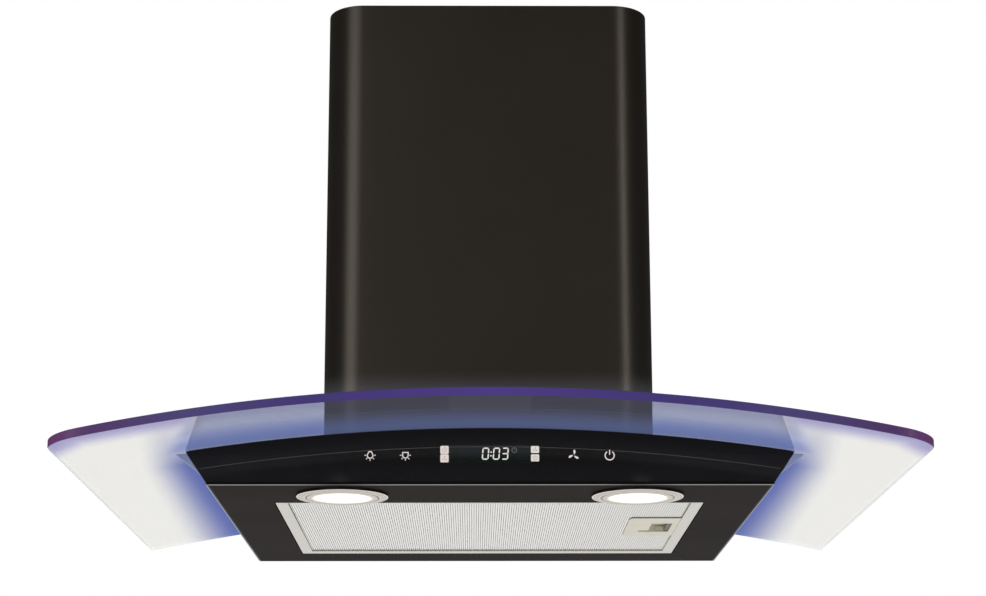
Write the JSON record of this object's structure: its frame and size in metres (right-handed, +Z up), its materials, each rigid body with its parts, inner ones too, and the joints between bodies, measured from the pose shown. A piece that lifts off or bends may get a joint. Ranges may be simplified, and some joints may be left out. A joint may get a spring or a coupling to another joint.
{
  "type": "curved glass range hood",
  "caption": "Wall-mounted range hood: arched tinted glass canopy over a slim body with touch fascia, lamps, latched grease filter, blower and telescopic chimney.",
  "frame": {"origin": "centre of the four wall bolt holes, on the wall plane", "axes": "+X to the viewer's right, along the hood's width; +Y into the wall; +Z up"},
  "size_m": [0.6, 0.5, 0.434],
  "materials": {
    "black_sheet": "satin black enamel on steel sheet",
    "underside_sheet": "satin dark grey-brown enamel",
    "zinc_steel": "zinc-coated steel sheet",
    "bright_steel": "bright steel",
    "trim_steel": "brushed steel strip",
    "tinted_glass": "toughened glass, blue-violet tint and edge",
    "soft_rubber": "black rubber",
    "fascia_gloss": "gloss black panel",
    "display_tint": "dark green tinted window",
    "board_green": "printed board with its parts",
    "case_plastic": "light grey moulded plastic",
    "lamp_chrome": "satin chrome ring",
    "lamp_lens": "lit frosted lens",
    "lamp_can": "cast heat sink can",
    "fan_plastic": "dark moulded plastic",
    "motor_steel": "grey painted motor steel",
    "filter_metal": "satin anodised aluminium, expanded mesh",
    "filter_fleece": "open grease-holding fleece between the meshes",
    "latch_plastic": "cream moulded plastic",
    "cable_sheath": "black cable sheath"
  },
  "bodies": {
    "hood": {"body_shell": "black_sheet", "underside_panel": "underside_sheet", "wall_plate": "zinc_steel", "plate_rivets": "bright_steel", "glass_canopy": "tinted_glass", "glass_gasket": "soft_rubber", "glass_screws": "bright_steel", "glass_washers": "soft_rubber", "glass_nuts": "bright_steel", "control_fascia": "fascia_gloss", "fascia_trim": "trim_steel", "display_module": "display_tint", "touch_board": "board_green", "control_box": "case_plastic", "control_box_lid": "case_plastic", "power_board": "board_green", "terminal_block": "case_plastic", "lamp_bezel_left": "lamp_chrome", "lamp_lens_left": "lamp_lens", "lamp_board_left": "board_green", "lamp_housing_left": "lamp_can", "lamp_bezel_right": "lamp_chrome", "lamp_lens_right": "lamp_lens", "lamp_board_right": "board_green", "lamp_housing_right": "lamp_can", "scroll_left": "fan_plastic", "scroll_right": "fan_plastic", "motor_housing": "motor_steel", "stator": "motor_steel", "bearings": "bright_steel", "motor_bracket": "zinc_steel", "motor_bushes": "soft_rubber", "blower_box": "zinc_steel", "cable_gland": "fan_plastic", "capacitor": "fan_plastic", "outlet_collar": "fan_plastic", "flap_pin": "bright_steel", "chimney_lower": "black_sheet", "chimney_ties": "zinc_steel", "chimney_screws": "bright_steel", "slide_pads": "case_plastic", "filter_hinge_pins": "bright_steel", "filter_keeper": "underside_sheet", "panel_lead": "cable_sheath", "lamp_leads": "cable_sheath", "motor_lead": "cable_sheath", "supply_leads": "cable_sheath"},
    "upper_chimney": {"chimney_upper": "black_sheet"},
    "filter": {"filter_frame": "filter_metal", "filter_face_mesh": "filter_metal", "filter_pad": "filter_fleece", "filter_back_mesh": "filter_metal", "latch_plate": "latch_plastic", "latch_springs": "bright_steel"},
    "latch": {"latch_slide": "latch_plastic"},
    "fan": {"impeller": "fan_plastic", "shaft": "bright_steel", "rotor": "motor_steel"},
    "flap_left": {"flap_left": "fan_plastic"},
    "flap_right": {"flap_right": "fan_plastic"}
  },
  "joints": [
    {"name": "chimney_slide", "type": "slide", "parent": "hood", "child": "upper_chimney", "axis": [0, 0, 1], "range_m": [0, 0.28]},
    {"name": "filter_hinge", "type": "hinge", "parent": "hood", "child": "filter", "pos_m": [-0.15775, -0.181, -0.147], "axis": [0, 1, 0], "range_deg": [0, 75], "deforming": ["filter_keeper"]},
    {"name": "latch_pull", "type": "slide", "parent": "filter", "child": "latch", "axis": [-1, 0, 0], "range_m": [0, 0.006], "stiffness_N_per_m": 300, "springref_m": -0.004, "deforming": ["latch_springs"]},
    {"name": "fan_spin", "type": "hinge", "parent": "hood", "child": "fan", "pos_m": [0, -0.08405, -0.018], "axis": [1, 0, 0], "continuous": true},
    {"name": "flap_left_hinge", "type": "hinge", "parent": "hood", "child": "flap_left", "pos_m": [0, -0.12905, 0.112], "axis": [0, 1, 0], "range_deg": [0, 75]},
    {"name": "flap_right_hinge", "type": "hinge", "parent": "hood", "child": "flap_right", "pos_m": [0, -0.12905, 0.112], "axis": [0, -1, 0], "range_deg": [0, 75]}
  ]
}
